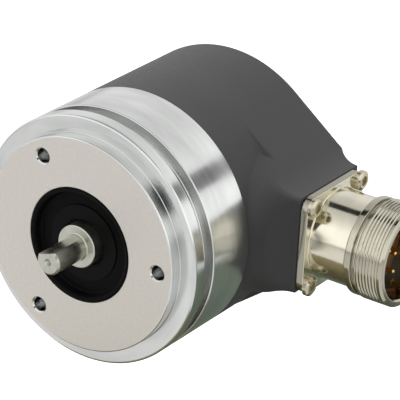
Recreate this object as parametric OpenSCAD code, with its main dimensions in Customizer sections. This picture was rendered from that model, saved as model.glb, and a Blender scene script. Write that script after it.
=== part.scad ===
// Rotary encoder with a synchro flange, a solid shaft and a radial round connector.
// The shaft lies along Y and leaves the flange towards -Y. The connector points to +X.
// The origin is the centre of the flange's front face.

/* [Body] */
// Outer diameter of the flange and of the housing
body_d = 58; // [50:1:74]
// Distance from the front face to the back of the flange's outer band
flange_len = 23.1; // [22.6:0.1:27.6]
// Length of the housing behind the flange
housing_len = 33.9; // [28:0.1:45]
// Wall thickness of the housing
housing_wall = 2; // [1.6:0.1:2.4]
// Radius of the rounded edge at the back of the housing
housing_edge_r = 0.5; // [0.5:0.1:2]

/* [Flange] */
// How far the rim stands out beyond the pilot spigot
rim_step = 4; // [3:0.1:5]
// Length of the pilot spigot
spigot_len = 3; // [2:0.1:3.4]
// Thickness of the rim that the servo clamps hold
rim_t = 3.5; // [2.5:0.1:4]
// Width of the clamping groove
groove_w = 3.3; // [2.5:0.1:4]
// Depth of the clamping groove
groove_depth = 2.5; // [1.5:0.1:3]
// Distance from the edge of the spigot to the mounting hole circle
hole_inset = 4; // [3:0.1:5]
// Tapping diameter of the three mounting holes
hole_d = 3.3; // [2.5:0.1:4.2]
// Depth of the three mounting holes
hole_depth = 8; // [5:0.5:10]

/* [Shaft] */
// Diameter of the output end of the shaft
shaft_d = 6; // [5:0.1:8]
// Length of the output end in front of the collar
shaft_len = 10; // [8:0.5:20]
// Depth of the flat on the output end
flat_depth = 1; // [0.4:0.05:1.2]
// Angle by which the flat is turned away from straight up
flat_turn = 18; // [-90:1:90]
// Diameter of the journal that runs in the bearings
journal_d = 10; // [9:0.5:11]
// How far the journal's collar stands out of the front face
collar_out = 0.9; // [0:0.1:2]
// Diameter of the shaft behind the bearings
tail_d = 8; // [6:0.5:8.5]

/* [Bearings] */
// Outer diameter of the front bearing
front_od = 26; // [25:0.5:28]
// Width of the front bearing
front_w = 8; // [7:0.1:9]
// Ball diameter of the front bearing
front_ball_d = 4.762; // [4:0.1:5]
// Number of balls in the front bearing
front_balls_n = 7; // [6:1:8]
// Outer diameter of the rear bearing
rear_od = 22; // [21:0.5:24]
// Width of the rear bearing
rear_w = 6; // [5.5:0.1:6.4]
// Ball diameter of the rear bearing
rear_ball_d = 3.175; // [2.8:0.1:3.4]
// Number of balls in the rear bearing
rear_balls_n = 10; // [7:1:11]

/* [Seal cap] */
// Outer diameter of the seal cap
cap_d = 26.8; // [26:0.1:30]
// Length of the seal cap
cap_len = 4.6; // [4.4:0.1:5]
// How deep the cap's floor lies behind the front face
cap_recess = 2; // [1:0.1:2.4]

/* [Code disc] */
// Diameter of the code disc
disc_d = 35; // [30:0.5:35.5]
// Thickness of the code disc
disc_t = 1; // [0.8:0.1:1.5]
// Diameter of the circuit board
board_d = 49; // [44:0.5:51]
// Thickness of the circuit board
board_t = 1.6; // [1:0.1:2]

/* [Connector] */
// Distance from the connector's axis to the back of the housing
conn_back = 15; // [14:0.5:18]
// Distance from the encoder's axis to the face of the nose
nose_reach = 37; // [36.5:0.1:42]
// Side of the square connector plate
plate_w = 23.2; // [22.5:0.1:26]
// Thickness of the connector plate
plate_t = 1.7; // [1.4:0.1:3]
// Radius of the plate's corners
plate_r = 3.2; // [2:0.1:4]
// Distance between neighbouring plate screws
screw_pitch = 19; // [18.4:0.1:20]
// Diameter of the connector's neck
neck_d = 20.7; // [20:0.1:21]
// Length of the connector's neck
neck_len = 9.6; // [6:0.1:14]
// Outside diameter of the connector's thread
thread_d = 23; // [22:0.1:25]
// Length of the ring, groove and thread in front of the neck
thread_len = 9.8; // [9:0.1:14]
// Inside diameter of the connector's mouth
mouth_d = 19.4; // [18.6:0.1:19.6]
// How deep the contact tips lie inside the mouth
tip_recess = 4.6; // [4.5:0.1:6]

/* [Hidden] */
$fn = 96;

gap = 0.3;              // clearance between parts that move past each other
slip = 0.05;            // radial clearance of a seated part
seal_gap = 0.03;        // clearance between the seal lip and the shaft
ball_play = 0.015;      // radial clearance between a ball and its race
eps = 0.01;             // overshoot of a cut

body_r = body_d / 2;
total_len = flange_len + housing_len;
inner_r = body_r - housing_wall;

// Flange
spigot_r = body_r - rim_step;
rim_back = spigot_len + rim_t;
groove_back = rim_back + groove_w;
groove_r = body_r - groove_depth;
register_r = inner_r - slip;
register_len = 5;
flange_back = flange_len + register_len;
hole_circle_r = spigot_r - hole_inset;
edge_c = 0.6;
hole_c = 0.4;

// Bearings, from front to back
front_y = cap_len;
shoulder_y = front_y + front_w;
shoulder_w = 4.4;
shoulder_r = rear_od / 2 - 1.6;
spring_h = 1;
rear_y = shoulder_y + shoulder_w + spring_h;
rear_back = rear_y + rear_w;
front_pitch_r = (front_od + journal_d) / 4;
rear_pitch_r = (rear_od + journal_d) / 4;
shield_t = 0.3;
tail_bore_r = rear_od / 2 + 1;

// Shaft
journal_r = journal_d / 2;
front_race_r = front_pitch_r - 1.6;
shaft_tip = -collar_out - shaft_len;
stop_r = journal_r + 1.25;
stop_w = 0.9;
circlip_w = 1;
circlip_groove_r = journal_r - 0.2;
circlip_y = rear_back + 0.05;
journal_back = circlip_y + circlip_w + 0.8;

// Disc stack
hub_r = 6.5;
hub_y = journal_back + 0.2;
hub_len = 5.2;
hub_flange_r = 10;
hub_flange_t = 1;
disc_y = hub_y + hub_len + hub_flange_t;
disc_bore_r = 6;
clamp_t = 1;
shaft_back = disc_y + disc_t + clamp_t;
track_r = disc_d / 2 - 2.6;
reticle_t = 0.6;
reticle_y = disc_y + disc_t + 0.4;
detector_t = 1.5;
board_y = reticle_y + reticle_t + detector_t;
board_back = board_y + board_t;
optics_angle = 120;

// Pillars
pillar_af = 5;
pillar_circle_r = board_d / 2 - 3;
pillar_angles = [60, 180, 300];
stud_d = 2.5;
stud_len = 4;
floor_y = total_len - housing_wall;
cover_screw_head_d = 5.4;
cover_screw_head_h = 1;

// Nose
conn_y = total_len - conn_back;
nose_half = plate_w / 2;
nose_slope = 53;
nose_blend_r = 12;
boss_r = (nose_half - plate_r) * sqrt(2) + plate_r + 2.9;
shelf_back = 7;
plan_front_r = 9;
plan_rear_r = 8;
rear_shelf = 0.5;
nose_bore_w = 17;
nose_bore_r = 2;

// Connector
gasket_t = 0.3;
plate_x = nose_reach + gasket_t;
neck_x = plate_x + plate_t;
ring_x = neck_x + neck_len;
mouth_x = ring_x + thread_len;
plug_len = 3;
plug_r = nose_bore_w / 2 - 0.1;
throat_r = plug_r - 1;
insert_x = neck_x + 1.6;
insert_front = mouth_x - tip_recess - 4.2;
insert_r = mouth_d / 2 - slip;
insert_nose_r = insert_r - 1.4;
coding_w = 2;
pin_d = 1;
cup_d = 1.6;
cup_back = insert_x - 3;
conn_screw_d = 2.5;
conn_head_d = 4.6;
conn_head_h = 1.4;
conn_screw_len = 6;

// Wires
header_x = 12;
header_h = 3.2;
header_row = 0.75;
header_pitch = 4;
wire_d = 1;
cup_bore_d = 1.1;
wire_steps = 7;
wire_n = 8;

// Positions of the contacts round the connector's axis, each as [radius, angle]
contacts = concat(
    [for (i = [0:wire_n - 1]) [6.4, 45 * i + 22.5]],
    [for (i = [0:2]) [3.2, 120 * i + 90]],
    [[0, 0]]
);

// Turns an upright shape so that its height runs along +Y, starting at y
module along_y(y) {
    translate([0, y, 0]) rotate([-90, 0, 0]) children();
}

// Turns an upright shape so that its height runs along +X on the connector's axis
module along_x(x) {
    translate([x, conn_y, 0]) rotate([0, 90, 0]) children();
}

// Turns a flat XZ drawing into a prism that runs along Y from y1 to y2
module elevation(y1, y2) {
    translate([0, y2, 0]) rotate([90, 0, 0]) linear_extrude(y2 - y1) children();
}

// Ring between two radii
module ring(r_out, r_in, h) {
    difference() {
        cylinder(h = h, r = r_out);
        translate([0, 0, -eps]) cylinder(h = h + 2 * eps, r = r_in);
    }
}

// Cylinder with a chamfer at each end
module bevelled(r, h, c1, c2) {
    rotate_extrude() polygon([
        [0, 0], [r - c1, 0], [r, c1], [r, h - c2], [r - c2, h], [0, h]
    ]);
}

// Square with round corners, centred
module round_square(w, r) {
    union() {
        square([w - 2 * r, w], center = true);
        square([w, w - 2 * r], center = true);
        for (sx = [-1, 1], sy = [-1, 1]) {
            translate([sx * (w / 2 - r), sy * (w / 2 - r)]) circle(r = r, $fn = 48);
        }
    }
}

// Places children at the given angles on a circle about the Y axis, heights along +Y
module about_y(r, angles, y) {
    for (a = angles) {
        rotate([0, -a, 0]) translate([r, y, 0]) rotate([-90, 0, 0]) children();
    }
}

// Flange

module mounting_hole() {
    translate([0, 0, -eps]) cylinder(h = hole_depth + eps, d = hole_d, $fn = 48);
    translate([0, 0, -eps]) cylinder(h = hole_c + eps, d1 = hole_d + 2 * hole_c + 2 * eps, d2 = hole_d, $fn = 48);
}

module flange_outline() {
    c = edge_c;
    s = c / 2;
    polygon([
        [0, 0], [spigot_r - s, 0], [spigot_r, s], [spigot_r, spigot_len],
        [body_r - c, spigot_len], [body_r, spigot_len + c], [body_r, rim_back - s],
        [body_r - s, rim_back], [groove_r, rim_back], [groove_r, groove_back],
        [body_r - s, groove_back], [body_r, groove_back + s], [body_r, flange_len - s / 2],
        [body_r - s / 2, flange_len], [register_r, flange_len],
        [register_r, flange_back - s], [register_r - s, flange_back], [0, flange_back]
    ]);
}

module flange() {
    color([0.78, 0.77, 0.74]) difference() {
        along_y(0) rotate_extrude() flange_outline();
        along_y(-eps) cylinder(h = cap_len + eps, r = cap_d / 2 + 0.02);
        along_y(0) cylinder(h = shoulder_y, r = front_od / 2 + 0.01);
        along_y(0) cylinder(h = flange_back + eps, r = shoulder_r);
        along_y(shoulder_y + shoulder_w) cylinder(h = flange_back, r = rear_od / 2 + 0.01);
        along_y(rear_back) cylinder(h = flange_back, r = tail_bore_r);
        along_y(flange_len + 1.4) ring(body_r, register_r - 1.45, 2.2);
        about_y(hole_circle_r, [0, 120, 240], 0) mounting_hole();
        about_y(pillar_circle_r, pillar_angles, flange_back - stud_len - 1) {
            cylinder(h = stud_len + 2, d = stud_d, $fn = 48);
        }
    }
}

// Cap and seal

module seal_cap() {
    floor_t = 1.2;
    r = cap_d / 2;
    color([0.07, 0.08, 0.08]) along_y(0) rotate_extrude() polygon([
        [r - 0.3, 0], [r, 0.3], [r, cap_len - 0.1], [r - 1, cap_len - 0.1],
        [r - 1, cap_recess + floor_t], [stop_r + 2.6, cap_recess + floor_t],
        [stop_r + 2.6, cap_recess], [r - 1.2, cap_recess], [r - 1.2, 0]
    ]);
}

module shaft_seal() {
    r = stop_r + 2.6;
    lip = journal_r + seal_gap;
    y = cap_recess;
    color([0.05, 0.05, 0.05]) along_y(0) rotate_extrude() polygon([
        [r - 0.02, y - 0.3], [r - 0.02, y + 1.2], [r - 0.9, y + 1.2], [r - 0.9, y + 0.6],
        [lip + 0.9, y + 0.6], [lip + 0.5, y + 1], [lip, y + 0.5], [lip + 0.3, y - 0.1], [lip + 0.8, y - 0.3]
    ]);
}

// Shaft

module shaft() {
    flat_z = shaft_d / 2 - flat_depth;
    groove_y = circlip_y - 0.02;
    color([0.72, 0.72, 0.70]) difference() {
        union() {
            rotate([0, -flat_turn - 90, 0]) {
                along_y(shaft_tip) bevelled(shaft_d / 2, shaft_len + 1, 0.4, 0);
            }
            along_y(shaft_tip + shaft_len - 0.8) cylinder(h = 1, r = shaft_d / 2 + 0.03);
            along_y(-collar_out) bevelled(journal_r, journal_back + collar_out, 0.3, 0.2);
            along_y(front_y - stop_w) cylinder(h = stop_w, r = stop_r);
            along_y(journal_back - 1) bevelled(tail_d / 2, shaft_back - journal_back + 1, 0, 0.3);
        }
        rotate([0, -flat_turn, 0]) translate([-shaft_d, shaft_tip - eps, flat_z]) {
            cube([2 * shaft_d, shaft_len - 0.8 + 2 * eps, shaft_d]);
        }
        along_y(groove_y) ring(stop_r, circlip_groove_r, circlip_w + 0.1);
    }
}

// Ball bearings

module outer_race(od, w, pitch_r, ball_d) {
    groove_r2 = 0.52 * ball_d;
    r_out = od / 2;
    r_in = pitch_r + 1.6 * ball_d / 4.762;
    groove_c = pitch_r + ball_d / 2 + ball_play - groove_r2;
    c = 0.3;
    rotate_extrude() difference() {
        polygon([
            [r_in, 0], [r_out - c, 0], [r_out, c], [r_out, w - c], [r_out - c, w], [r_in, w]
        ]);
        translate([groove_c, w / 2]) circle(r = groove_r2, $fn = 48);
    }
}

module inner_race(w, pitch_r, ball_d) {
    groove_r2 = 0.52 * ball_d;
    r_in = journal_r + 0.01;
    r_out = pitch_r - 1.6 * ball_d / 4.762;
    groove_c = pitch_r - ball_d / 2 - ball_play + groove_r2;
    c = 0.3;
    rotate_extrude() difference() {
        polygon([
            [r_in, c], [r_in + c, 0], [r_out, 0], [r_out, w], [r_in + c, w], [r_in, w - c]
        ]);
        translate([groove_c, w / 2]) circle(r = groove_r2, $fn = 48);
    }
}

module balls(n, w, pitch_r, ball_d) {
    for (i = [0:n - 1]) {
        rotate([0, 0, 360 * i / n]) translate([pitch_r, 0, w / 2]) sphere(d = ball_d, $fn = 48);
    }
}

// Flat ring with a round pocket for each ball
module cage(n, w, pitch_r, ball_d) {
    half_t = 0.14 * ball_d;
    half_w = 0.62 * ball_d;
    difference() {
        translate([0, 0, w / 2 - half_w]) ring(pitch_r + half_t, pitch_r - half_t, 2 * half_w);
        for (i = [0:n - 1]) {
            rotate([0, 0, 360 * i / n]) translate([pitch_r, 0, w / 2]) rotate([0, 90, 0]) {
                cylinder(h = ball_d, d = ball_d + 0.2, center = true, $fn = 48);
            }
        }
    }
}

// Two thin covers pressed into the outer race
module shields(w, pitch_r, ball_d) {
    land = 1.6 * ball_d / 4.762;
    r_out = pitch_r + land;
    r_in = pitch_r - land + gap;
    for (z = [0.1, w - 0.1 - shield_t]) {
        translate([0, 0, z]) ring(r_out, r_in, shield_t);
    }
}

module front_outer_race() {
    color([0.62, 0.63, 0.65]) along_y(front_y) outer_race(front_od, front_w, front_pitch_r, front_ball_d);
}

module front_inner_race() {
    color([0.62, 0.63, 0.65]) along_y(front_y) inner_race(front_w, front_pitch_r, front_ball_d);
}

module front_balls() {
    color([0.8, 0.8, 0.82]) along_y(front_y) balls(front_balls_n, front_w, front_pitch_r, front_ball_d);
}

module front_cage() {
    color([0.75, 0.6, 0.25]) along_y(front_y) cage(front_balls_n, front_w, front_pitch_r, front_ball_d);
}

module front_shields() {
    color([0.55, 0.56, 0.58]) along_y(front_y) shields(front_w, front_pitch_r, front_ball_d);
}

module rear_outer_race() {
    color([0.62, 0.63, 0.65]) along_y(rear_y) outer_race(rear_od, rear_w, rear_pitch_r, rear_ball_d);
}

module rear_inner_race() {
    color([0.62, 0.63, 0.65]) along_y(rear_y) inner_race(rear_w, rear_pitch_r, rear_ball_d);
}

module rear_balls() {
    color([0.8, 0.8, 0.82]) along_y(rear_y) balls(rear_balls_n, rear_w, rear_pitch_r, rear_ball_d);
}

module rear_cage() {
    color([0.75, 0.6, 0.25]) along_y(rear_y) cage(rear_balls_n, rear_w, rear_pitch_r, rear_ball_d);
}

module rear_shields() {
    color([0.55, 0.56, 0.58]) along_y(rear_y) shields(rear_w, rear_pitch_r, rear_ball_d);
}

// Tube between the two inner races
module bearing_spacer() {
    color([0.7, 0.7, 0.72]) along_y(shoulder_y) ring(journal_r + 1.5, journal_r + 0.02, rear_y - shoulder_y);
}

// Wavy ring that pushes the rear outer race away from the flange's shoulder.
// Its height is a cosine with three crests round the ring.
module wave_spring() {
    n = 60;
    t = 0.3;
    r1 = rear_pitch_r + 1.4;
    r2 = rear_od / 2 - 0.2;
    lift = (spring_h - t) / 2;
    function wave(i) = lift * (1 + cos(3 * 360 * i / n));
    function corner(i, r, dz) = [r * cos(360 * i / n), r * sin(360 * i / n), wave(i) + dz];
    pts = [for (i = [0:n - 1]) each [corner(i, r1, 0), corner(i, r2, 0), corner(i, r2, t), corner(i, r1, t)]];
    faces = [for (i = [0:n - 1], k = [0:3]) each
        let (a = 4 * i + k, b = 4 * i + (k + 1) % 4, c = (a + 4) % (4 * n), d = (b + 4) % (4 * n))
        [[a, c, b], [b, c, d]]
    ];
    color([0.5, 0.52, 0.55]) along_y(shoulder_y + shoulder_w) polyhedron(pts, faces);
}

// Open spring ring in the shaft's groove, with two eyes for the pliers
module shaft_circlip() {
    r1 = circlip_groove_r + 0.02;
    r2 = journal_r + 1.5;
    color([0.3, 0.3, 0.32]) along_y(circlip_y) linear_extrude(circlip_w) difference() {
        union() {
            circle(r = r2);
            for (s = [-1, 1]) translate([r2 - 0.2, s * 1.8]) circle(r = 1.3, $fn = 48);
        }
        circle(r = r1);
        translate([0, -0.9]) square([3 * r2, 1.8]);
        for (s = [-1, 1]) translate([r2 - 0.1, s * 1.9]) circle(r = 0.5, $fn = 48);
    }
}

// Code disc and hub

module disc_hub() {
    color([0.75, 0.75, 0.77]) difference() {
        union() {
            along_y(hub_y) cylinder(h = hub_len, r = hub_r);
            along_y(hub_y + hub_len) cylinder(h = hub_flange_t, r = hub_flange_r);
            along_y(disc_y) cylinder(h = disc_t + clamp_t - 0.2, r = disc_bore_r - slip);
        }
        along_y(hub_y - eps) cylinder(h = hub_len + 5, r = tail_d / 2 + 0.01);
        translate([0, hub_y + hub_len / 2, 0]) cylinder(h = hub_r + 1, d = stud_d, $fn = 48);
    }
}

module hub_set_screw() {
    z1 = tail_d / 2 + 0.02;
    len = hub_r - z1 - 0.2;
    color([0.15, 0.15, 0.16]) translate([0, hub_y + hub_len / 2, z1]) difference() {
        cylinder(h = len, d = stud_d, $fn = 48);
        translate([0, 0, len - 1.2]) cylinder(h = 2, d = 1.7, $fn = 6);
    }
}

module code_disc() {
    color([0.75, 0.85, 0.85, 0.5]) along_y(disc_y) ring(disc_d / 2, disc_bore_r, disc_t);
}

module disc_clamp() {
    color([0.8, 0.8, 0.82]) along_y(disc_y + disc_t) ring(disc_bore_r + 2.5, disc_bore_r, clamp_t);
}

// Optics and board

// Lamp block on the flange, with its round window towards the disc
module light_source() {
    y1 = flange_back;
    y2 = disc_y - 0.5;
    rotate([0, -optics_angle, 0]) color([0.2, 0.2, 0.22]) union() {
        translate([track_r - 2.4, y1, -4]) cube([5.9, y2 - y1 - 0.6, 8]);
        translate([track_r, y2 - 0.7, 0]) rotate([-90, 0, 0]) cylinder(h = 0.7, r = 2, $fn = 48);
    }
}

module reticle() {
    rotate([0, -optics_angle, 0]) color([0.7, 0.75, 0.6]) {
        translate([track_r - 2.4, reticle_y, -3]) cube([4.8, reticle_t, 6]);
    }
}

module detector() {
    rotate([0, -optics_angle, 0]) color([0.12, 0.12, 0.13]) {
        translate([track_r - 3.2, reticle_y + reticle_t, -4]) cube([6.4, detector_t, 8]);
    }
}

module circuit_board() {
    color([0.05, 0.3, 0.15]) difference() {
        along_y(board_y) cylinder(h = board_t, r = board_d / 2);
        about_y(pillar_circle_r, pillar_angles, board_y - eps) {
            cylinder(h = board_t + 1, d = stud_d + 0.2, $fn = 48);
        }
    }
}

// Chips and small parts on the back of the board, each as [x, z, width, height, thickness]
module board_parts() {
    parts = [
        [-7, 0, 9, 9, 1.6], [-2, 14, 5, 6, 1.5], [-14, 8, 4, 3, 1.2], [-13, -9, 4, 5, 1.5],
        [0, -14, 6, 4, 1.4], [3, 8, 2, 1.2, 0.8], [3, 5, 2, 1.2, 0.8], [3, -5, 2, 1.2, 0.8], [3, -8, 2, 1.2, 0.8]
    ];
    color([0.1, 0.1, 0.11]) union() {
        for (p = parts) {
            translate([p[0] - p[2] / 2, board_back, p[1] - p[3] / 2]) cube([p[2], p[4], p[3]]);
        }
    }
}

module pin_header() {
    color([0.85, 0.82, 0.72]) translate([header_x - 3, board_back, -9]) cube([6, header_h, 18]);
}

// Hexagon pillars that carry the board and the housing floor

module front_standoffs() {
    r = pillar_af / 2 / cos(30);
    color([0.8, 0.68, 0.35]) about_y(pillar_circle_r, pillar_angles, flange_back) {
        cylinder(h = board_y - flange_back, r = r, $fn = 6);
        translate([0, 0, -stud_len]) cylinder(h = stud_len + 1, d = stud_d - 0.02, $fn = 48);
        translate([0, 0, board_y - flange_back - 1]) {
            cylinder(h = board_t + stud_len + 1, d = stud_d - 0.02, $fn = 48);
        }
    }
}

module rear_standoffs() {
    r = pillar_af / 2 / cos(30);
    len = floor_y - board_back;
    color([0.8, 0.68, 0.35]) about_y(pillar_circle_r, pillar_angles, board_back) difference() {
        cylinder(h = len, r = r, $fn = 6);
        translate([0, 0, -eps]) cylinder(h = stud_len + 0.5, d = stud_d, $fn = 48);
        translate([0, 0, len - 7]) cylinder(h = 7 + eps, d = stud_d, $fn = 48);
    }
}

// Round seal in the groove of the flange's register
module housing_o_ring() {
    cross_r = (inner_r - (register_r - 1.45)) / 2 - 0.01;
    color([0.06, 0.06, 0.06]) along_y(flange_len + 2.5) rotate_extrude() {
        translate([inner_r - cross_r - 0.01, 0]) circle(r = cross_r, $fn = 32);
    }
}

// Housing

// Side view of the nose: a bar, with a slope down from the body above and below that ends in a round blend
module nose_elevation() {
    c = cos(nose_slope);
    t = sin(nose_slope);
    rise = nose_half + nose_blend_r;
    blend_x = (body_r + nose_blend_r - rise * t) / c;
    intersection() {
        translate([0, -body_r]) square([nose_reach, body_d]);
        union() {
            translate([0, -nose_half]) square([nose_reach, plate_w]);
            for (s = [-1, 1]) {
                difference() {
                    polygon([
                        [0, 0], [body_r * c, s * body_r * t],
                        [blend_x - nose_blend_r * c, s * (rise - nose_blend_r * t)],
                        [blend_x, s * rise], [blend_x, 0]
                    ]);
                    translate([blend_x, s * rise]) circle(r = nose_blend_r, $fn = 192);
                }
            }
        }
    }
}

// Top view of the nose: it narrows from the body to the plate in two round sweeps
module nose_plan() {
    y1 = conn_y - nose_half;
    y2 = conn_y + nose_half + rear_shelf;
    difference() {
        translate([0, flange_len]) square([nose_reach, housing_len]);
        difference() {
            translate([nose_reach - plan_front_r, 0]) square([plan_front_r + 1, y1]);
            translate([0, 0]) square([nose_reach - plan_front_r, y1]);
        }
        translate([nose_reach - plan_rear_r, y2]) square([plan_rear_r + 1, total_len]);
    }
    difference() {
        translate([nose_reach - plan_front_r, y1 - plan_front_r]) square(plan_front_r);
        translate([nose_reach, y1 - plan_front_r]) circle(r = plan_front_r);
    }
    difference() {
        translate([nose_reach - plan_rear_r, y2]) square(plan_rear_r);
        translate([nose_reach, y2 + plan_rear_r]) circle(r = plan_rear_r);
    }
}

// The nose's outer shape, before it is hollowed
module nose_block() {
    intersection() {
        elevation(flange_len, total_len) nose_elevation();
        translate([0, 0, -body_r]) linear_extrude(body_d) nose_plan();
        union() {
            along_x(0) cylinder(h = nose_reach, r = boss_r);
            translate([0, conn_y - shelf_back, -body_r]) cube([nose_reach, total_len, body_d]);
        }
        translate([0, flange_len, -body_r]) cube([nose_reach, housing_len, body_d]);
    }
}

module housing_shell() {
    e = housing_edge_r;
    rotate_extrude() union() {
        square([body_r, housing_len - e]);
        square([body_r - e, housing_len]);
        translate([body_r - e, housing_len - e]) circle(r = e, $fn = 48);
    }
}

module housing() {
    color([0.2, 0.2, 0.21]) difference() {
        union() {
            along_y(flange_len) housing_shell();
            nose_block();
        }
        along_y(flange_len - eps) cylinder(h = housing_len - housing_wall + eps, r = inner_r);
        along_x(0) linear_extrude(nose_reach + 1) round_square(nose_bore_w, nose_bore_r);
        about_y(pillar_circle_r, pillar_angles, floor_y - 1) cylinder(h = 10, d = stud_d + 0.4, $fn = 48);
        about_y(pillar_circle_r, pillar_angles, total_len - cover_screw_head_h) {
            cylinder(h = 10, d = cover_screw_head_d + 0.4, $fn = 48);
        }
        conn_screw_spots() translate([0, 0, -conn_screw_len]) {
            cylinder(h = conn_screw_len + 1, d = conn_screw_d, $fn = 48);
        }
    }
}

module housing_screws() {
    y = total_len - cover_screw_head_h;
    color([0.6, 0.6, 0.6]) about_y(pillar_circle_r, pillar_angles, y) difference() {
        union() {
            cylinder(h = cover_screw_head_h, d = cover_screw_head_d, $fn = 48);
            translate([0, 0, -6]) cylinder(h = 6.5, d = stud_d - 0.02, $fn = 48);
        }
        translate([0, 0, 0.3]) cylinder(h = 2, d = 2.4, $fn = 6);
    }
}

// Connector

// Places children at the four plate screws, on the nose's face, heights along +X
module conn_screw_spots() {
    for (sy = [-1, 1], sz = [-1, 1]) {
        translate([nose_reach, conn_y + sy * screw_pitch / 2, sz * screw_pitch / 2]) {
            rotate([0, 90, 0]) children();
        }
    }
}

module connector_gasket() {
    color([0.1, 0.1, 0.1]) difference() {
        along_x(nose_reach) linear_extrude(gasket_t) round_square(plate_w - 0.6, plate_r);
        along_x(nose_reach - 1) cylinder(h = 3, r = plug_r + 0.05);
        conn_screw_spots() translate([0, 0, -1]) cylinder(h = 3, d = conn_screw_d + 0.4, $fn = 48);
    }
}

// Outline of the turned part of the shell, as distances from its axis and along it
module shell_outline() {
    n = neck_d / 2;
    r = thread_d / 2;
    g = r - 0.9;
    l1 = neck_len;
    l2 = neck_len + thread_len;
    polygon([
        [0, 0], [n, 0], [n, l1], [r - 0.3, l1], [r, l1 + 0.3], [r, l1 + 1.5], [r - 0.3, l1 + 1.8],
        [g, l1 + 1.8], [g, l1 + 2.8], [r - 0.3, l1 + 2.8], [r, l1 + 3.1],
        [r, l2 - 0.6], [r - 0.6, l2], [0, l2]
    ]);
}

module connector_shell() {
    color([0.8, 0.77, 0.68]) difference() {
        union() {
            along_x(plate_x) linear_extrude(plate_t) round_square(plate_w, plate_r);
            along_x(neck_x) rotate_extrude() shell_outline();
            along_x(plate_x - plug_len) cylinder(h = plug_len + 1, r = plug_r);
        }
        along_x(insert_x) cylinder(h = mouth_x, r = mouth_d / 2);
        along_x(0) cylinder(h = mouth_x, r = throat_r);
        along_x(mouth_x - 0.4) cylinder(h = 0.4 + eps, r1 = mouth_d / 2, r2 = mouth_d / 2 + 0.4 + eps);
        conn_screw_spots() cylinder(h = 5, d = conn_screw_d + 0.4, $fn = 48);
    }
}

module connector_screws() {
    head_z = gasket_t + plate_t;
    color([0.75, 0.72, 0.62]) conn_screw_spots() difference() {
        union() {
            translate([0, 0, head_z]) bevelled(conn_head_d / 2, conn_head_h, 0, 0.25);
            translate([0, 0, 0.5 - conn_screw_len]) {
                cylinder(h = conn_screw_len + head_z, d = conn_screw_d - 0.02, $fn = 48);
            }
        }
        translate([0, 0, head_z + conn_head_h - 0.8]) cylinder(h = 2, d = 2.2, $fn = 6);
    }
}

module connector_insert() {
    color([0.12, 0.1, 0.08]) difference() {
        union() {
            along_x(insert_x) cylinder(h = insert_front - coding_w - insert_x, r = insert_r);
            along_x(insert_x) cylinder(h = insert_front - insert_x, r = insert_nose_r);
            along_x(insert_x - 2) cylinder(h = 3, r = throat_r - 0.1);
        }
        at_contacts(insert_x - 3) cylinder(h = 20, d = cup_d, $fn = 32);
    }
}

// Ring round the front of the insert, with a key slot
module coding_ring() {
    color([0.55, 0.2, 0.1]) along_x(insert_front - coding_w) difference() {
        ring(insert_r, insert_nose_r + 0.02, coding_w);
        translate([0, insert_r, coding_w / 2]) cube([2, 3, coding_w + 1], center = true);
    }
}

// Places children at every contact, heights along +X
module at_contacts(x) {
    for (c = contacts) {
        translate([x, conn_y + c[0] * cos(c[1]), c[0] * sin(c[1])]) rotate([0, 90, 0]) children();
    }
}

module contact_pins() {
    body = insert_front - cup_back;
    tip = mouth_x - tip_recess - insert_front;
    color([0.85, 0.6, 0.2]) at_contacts(cup_back) difference() {
        union() {
            cylinder(h = body, d = cup_d, $fn = 32);
            cylinder(h = body + tip - pin_d / 2, d = pin_d, $fn = 32);
            translate([0, 0, body + tip - pin_d / 2]) sphere(d = pin_d, $fn = 32);
        }
        translate([0, 0, -eps]) cylinder(h = 2, d = cup_bore_d, $fn = 32);
    }
}

// A wire leaves the header straight, bends in a smooth S past the board and ends straight in its cup.
// Its rings lie in planes of equal x, and its sideways path is the cubic 3t^2 - 2t^3.
module wire(a, b, r) {
    n = 8;
    lead = board_d / 2 + 0.8;
    tail = b[0] - 2.2;
    function ease(t) = t * t * (3 - 2 * t);
    xs = concat([a[0]], [for (i = [0:wire_steps]) lead + (tail - lead) * i / wire_steps], [b[0]]);
    last = len(xs) - 1;
    function share(x) = ease(min(1, max(0, (x - lead) / (tail - lead))));
    function centre(x) = [x, a[1] + (b[1] - a[1]) * share(x), a[2] + (b[2] - a[2]) * share(x)];
    pts = [for (x = xs, k = [0:n - 1]) centre(x) + [0, r * cos(360 * k / n), r * sin(360 * k / n)]];
    sides = [for (i = [0:last - 1], k = [0:n - 1])
        [n * i + k, n * (i + 1) + k, n * (i + 1) + (k + 1) % n, n * i + (k + 1) % n]
    ];
    ends = [[for (k = [0:n - 1]) k], [for (k = [n - 1:-1:0]) n * last + k]];
    polyhedron(pts, concat(sides, ends));
}

// One wire for each contact of the outer circle, from two rows in the header
module wire_harness() {
    x1 = header_x + 3;
    x2 = cup_back + 1.5;
    color([0.7, 0.15, 0.1]) union() {
        for (i = [0:wire_n - 1]) {
            c = contacts[i];
            col = abs(sin(c[1])) > 0.6 ? 1.5 : 0.5;
            y1 = board_back + header_h / 2 + header_row * sign(cos(c[1]));
            z1 = header_pitch * col * sign(sin(c[1]));
            wire([x1, y1, z1], [x2, conn_y + c[0] * cos(c[1]), c[0] * sin(c[1])], wire_d / 2);
        }
    }
}

flange();
seal_cap();
shaft_seal();
shaft();
front_outer_race();
front_inner_race();
front_balls();
front_cage();
front_shields();
rear_outer_race();
rear_inner_race();
rear_balls();
rear_cage();
rear_shields();
bearing_spacer();
wave_spring();
shaft_circlip();
disc_hub();
hub_set_screw();
code_disc();
disc_clamp();
light_source();
reticle();
detector();
circuit_board();
board_parts();
pin_header();
front_standoffs();
rear_standoffs();
housing_o_ring();
housing();
housing_screws();
connector_gasket();
connector_shell();
connector_screws();
connector_insert();
coding_ring();
contact_pins();
wire_harness();
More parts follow.
